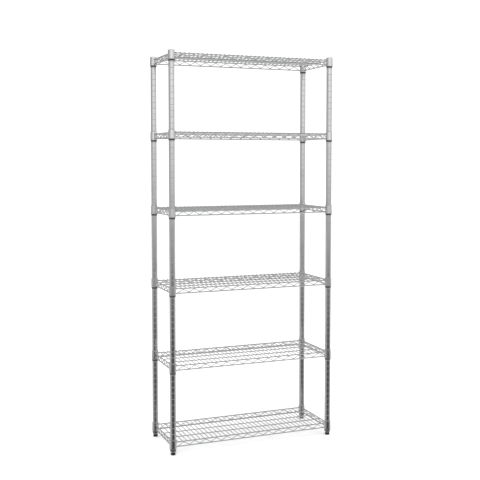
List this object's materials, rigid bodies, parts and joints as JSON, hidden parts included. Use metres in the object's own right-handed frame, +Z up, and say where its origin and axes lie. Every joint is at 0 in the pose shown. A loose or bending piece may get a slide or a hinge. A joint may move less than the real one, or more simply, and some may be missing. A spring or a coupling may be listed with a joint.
{
  "type": "wire shelving rack",
  "caption": "Tall narrow chrome wire shelving rack: round grooved posts carry evenly spaced wire shelves on clip sleeves and stand on screw feet.",
  "frame": {"origin": "on the floor, midway between the four posts, at the middle of the bottom of the bounding box", "axes": "+X to the right along the rack's width, -Y out of its front, +Z up along the posts"},
  "size_m": [0.7708, 0.2988, 1.717],
  "materials": {
    "posts": "bright chrome plate, slightly brushed",
    "edge_wires": "bright chrome plated wire",
    "deck": "bright chrome plated wire",
    "collars": "chrome plate over welded tube",
    "hardware": "zinc plated steel",
    "sleeves": "moulded black plastic",
    "feet": "moulded black plastic",
    "caps": "moulded grey plastic"
  },
  "bodies": {
    "posts": {"post_front_left_lower": "posts", "post_front_left_upper": "posts", "post_front_right_lower": "posts", "post_front_right_upper": "posts", "post_rear_left_lower": "posts", "post_rear_left_upper": "posts", "post_rear_right_lower": "posts", "post_rear_right_upper": "posts", "post_caps": "caps", "joiner_plugs": "hardware", "joiner_studs": "hardware", "foot_nuts": "hardware", "clip_sleeves": "sleeves"},
    "shelf_1": {"shelf_1_front_edge": "edge_wires", "shelf_1_rear_edge": "edge_wires", "shelf_1_left_edge": "edge_wires", "shelf_1_right_edge": "edge_wires", "shelf_1_deck": "deck", "shelf_1_collars": "collars"},
    "shelf_2": {"shelf_2_front_edge": "edge_wires", "shelf_2_rear_edge": "edge_wires", "shelf_2_left_edge": "edge_wires", "shelf_2_right_edge": "edge_wires", "shelf_2_deck": "deck", "shelf_2_collars": "collars"},
    "shelf_3": {"shelf_3_front_edge": "edge_wires", "shelf_3_rear_edge": "edge_wires", "shelf_3_left_edge": "edge_wires", "shelf_3_right_edge": "edge_wires", "shelf_3_deck": "deck", "shelf_3_collars": "collars"},
    "shelf_4": {"shelf_4_front_edge": "edge_wires", "shelf_4_rear_edge": "edge_wires", "shelf_4_left_edge": "edge_wires", "shelf_4_right_edge": "edge_wires", "shelf_4_deck": "deck", "shelf_4_collars": "collars"},
    "shelf_5": {"shelf_5_front_edge": "edge_wires", "shelf_5_rear_edge": "edge_wires", "shelf_5_left_edge": "edge_wires", "shelf_5_right_edge": "edge_wires", "shelf_5_deck": "deck", "shelf_5_collars": "collars"},
    "shelf_6": {"shelf_6_front_edge": "edge_wires", "shelf_6_rear_edge": "edge_wires", "shelf_6_left_edge": "edge_wires", "shelf_6_right_edge": "edge_wires", "shelf_6_deck": "deck", "shelf_6_collars": "collars"},
    "pad_front_left": {"foot_pad_front_left": "feet"},
    "stem_front_left": {"foot_stem_front_left": "hardware"},
    "pad_front_right": {"foot_pad_front_right": "feet"},
    "stem_front_right": {"foot_stem_front_right": "hardware"},
    "pad_rear_left": {"foot_pad_rear_left": "feet"},
    "stem_rear_left": {"foot_stem_rear_left": "hardware"},
    "pad_rear_right": {"foot_pad_rear_right": "feet"},
    "stem_rear_right": {"foot_stem_rear_right": "hardware"}
  },
  "joints": [
    {"name": "shelf_1_lift", "type": "slide", "parent": "posts", "child": "shelf_1", "axis": [0, 0, 1], "range_m": [0, 0.28]},
    {"name": "shelf_2_lift", "type": "slide", "parent": "posts", "child": "shelf_2", "axis": [0, 0, 1], "range_m": [0, 0.28]},
    {"name": "shelf_3_lift", "type": "slide", "parent": "posts", "child": "shelf_3", "axis": [0, 0, 1], "range_m": [0, 0.28]},
    {"name": "shelf_4_lift", "type": "slide", "parent": "posts", "child": "shelf_4", "axis": [0, 0, 1], "range_m": [0, 0.28]},
    {"name": "shelf_5_lift", "type": "slide", "parent": "posts", "child": "shelf_5", "axis": [0, 0, 1], "range_m": [0, 0.28]},
    {"name": "shelf_6_lift", "type": "slide", "parent": "posts", "child": "shelf_6", "axis": [0, 0, 1], "range_m": [0, 0.1]},
    {"name": "foot_front_left_height", "type": "slide", "parent": "posts", "child": "pad_front_left", "axis": [0, 0, -1], "range_m": [0, 0.018]},
    {"name": "foot_front_left_turn", "type": "hinge", "parent": "pad_front_left", "child": "stem_front_left", "pos_m": [-0.37, -0.134, 0], "axis": [0, 0, -1], "range_deg": [0, 4320]},
    {"name": "foot_front_right_height", "type": "slide", "parent": "posts", "child": "pad_front_right", "axis": [0, 0, -1], "range_m": [0, 0.018]},
    {"name": "foot_front_right_turn", "type": "hinge", "parent": "pad_front_right", "child": "stem_front_right", "pos_m": [0.37, -0.134, 0], "axis": [0, 0, -1], "range_deg": [0, 4320]},
    {"name": "foot_rear_left_height", "type": "slide", "parent": "posts", "child": "pad_rear_left", "axis": [0, 0, -1], "range_m": [0, 0.018]},
    {"name": "foot_rear_left_turn", "type": "hinge", "parent": "pad_rear_left", "child": "stem_rear_left", "pos_m": [-0.37, 0.134, 0], "axis": [0, 0, -1], "range_deg": [0, 4320]},
    {"name": "foot_rear_right_height", "type": "slide", "parent": "posts", "child": "pad_rear_right", "axis": [0, 0, -1], "range_m": [0, 0.018]},
    {"name": "foot_rear_right_turn", "type": "hinge", "parent": "pad_rear_right", "child": "stem_rear_right", "pos_m": [0.37, 0.134, 0], "axis": [0, 0, -1], "range_deg": [0, 4320]}
  ],
  "couplings": [
    {"joint": "foot_front_left_turn", "follows": "foot_front_left_height", "rad_per_m": 4188.8},
    {"joint": "foot_front_right_turn", "follows": "foot_front_right_height", "rad_per_m": 4188.8},
    {"joint": "foot_rear_left_turn", "follows": "foot_rear_left_height", "rad_per_m": 4188.8},
    {"joint": "foot_rear_right_turn", "follows": "foot_rear_right_height", "rad_per_m": 4188.8}
  ]
}
